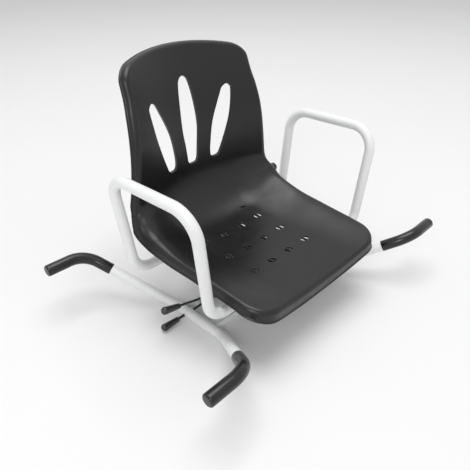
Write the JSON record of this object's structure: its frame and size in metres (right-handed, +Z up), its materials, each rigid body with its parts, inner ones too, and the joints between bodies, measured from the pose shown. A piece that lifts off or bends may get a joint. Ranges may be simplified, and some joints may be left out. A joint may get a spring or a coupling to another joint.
{
  "type": "swivel bath seat",
  "caption": "Moulded swivel seat with armrests, hung between the rims of a bath on sleeved hooks, with a lock lever for the turn and a pull rod that frees the seat.",
  "frame": {"origin": "where the swivel axis crosses the plane of the bath's rim, on which the four sleeves rest", "axes": "+Z up along the swivel axis; the sitter faces -Y; +X to the sitter's left, across the bath"},
  "size_m": [0.736, 0.509, 0.5181],
  "materials": {
    "white_powder_coat": "white powder coat, satin gloss",
    "black_seat_plastic": "black moulded polypropylene, satin",
    "black_rubber": "black soft PVC sleeve, slightly glossy",
    "black_grip": "black moulded plastic",
    "zinc_steel": "bright zinc plate",
    "spring_steel": "bare spring wire",
    "nylon": "natural nylon"
  },
  "bodies": {
    "base": {"side_tube_right": "white_powder_coat", "side_tube_left": "white_powder_coat", "rim_sleeve_front_right": "black_rubber", "rim_sleeve_rear_right": "black_rubber", "rim_sleeve_front_left": "black_rubber", "rim_sleeve_rear_left": "black_rubber", "base_tray": "white_powder_coat", "hub_tube": "white_powder_coat", "index_plate": "zinc_steel", "lower_bush": "nylon", "upper_bush": "nylon", "thrust_washer": "zinc_steel", "rod_bush": "nylon", "rod_guide_bracket": "zinc_steel"},
    "seat": {"spindle": "zinc_steel", "seat_carrier_plate": "white_powder_coat", "armrest_right": "white_powder_coat", "armrest_left": "white_powder_coat", "armrest_plug_front_right": "black_grip", "armrest_plug_rear_right": "black_grip", "armrest_plug_front_left": "black_grip", "armrest_plug_rear_left": "black_grip", "seat_shell": "black_seat_plastic", "seat_screw_front_right": "zinc_steel", "seat_screw_rear_right": "zinc_steel", "seat_screw_front_left": "zinc_steel", "seat_screw_rear_left": "zinc_steel", "seat_screw_washer_front_right": "zinc_steel", "seat_screw_washer_rear_right": "zinc_steel", "seat_screw_washer_front_left": "zinc_steel", "seat_screw_washer_rear_left": "zinc_steel", "armrest_bolt_front_right": "zinc_steel", "armrest_bolt_rear_right": "zinc_steel", "armrest_bolt_front_left": "zinc_steel", "armrest_bolt_rear_left": "zinc_steel", "index_pin_guide": "zinc_steel", "lever_bracket": "zinc_steel", "lever_pivot_pin": "zinc_steel", "lever_pivot_clip": "spring_steel"},
    "lock_lever": {"lock_lever_rod": "zinc_steel", "lock_lever_grip": "black_grip"},
    "index_pin": {"index_pin": "zinc_steel"},
    "retainer": {"retainer_rod": "zinc_steel", "retainer_grip": "black_grip", "retainer_fork": "zinc_steel", "retainer_spring": "spring_steel"}
  },
  "joints": [
    {"name": "seat_swivel", "type": "hinge", "parent": "base", "child": "seat", "pos_m": [0, 0, 0], "axis": [0, 0, 1], "continuous": true},
    {"name": "lock_lever_hinge", "type": "hinge", "parent": "seat", "child": "lock_lever", "pos_m": [-0.04, -0.01, -0.036], "axis": [0, 1, 0], "range_deg": [-8, 0]},
    {"name": "index_pin_slide", "type": "slide", "parent": "seat", "child": "index_pin", "axis": [0, 0, 1], "range_m": [-0.0056, 0]},
    {"name": "retainer_slide", "type": "slide", "parent": "base", "child": "retainer", "axis": [-1, 0, 0], "range_m": [0, 0.014], "stiffness_N_per_m": 600, "springref_m": -0.01, "deforming": ["retainer_spring"]}
  ],
  "couplings": [
    {"joint": "index_pin_slide", "follows": "lock_lever_hinge", "m_per_rad": 0.04}
  ]
}
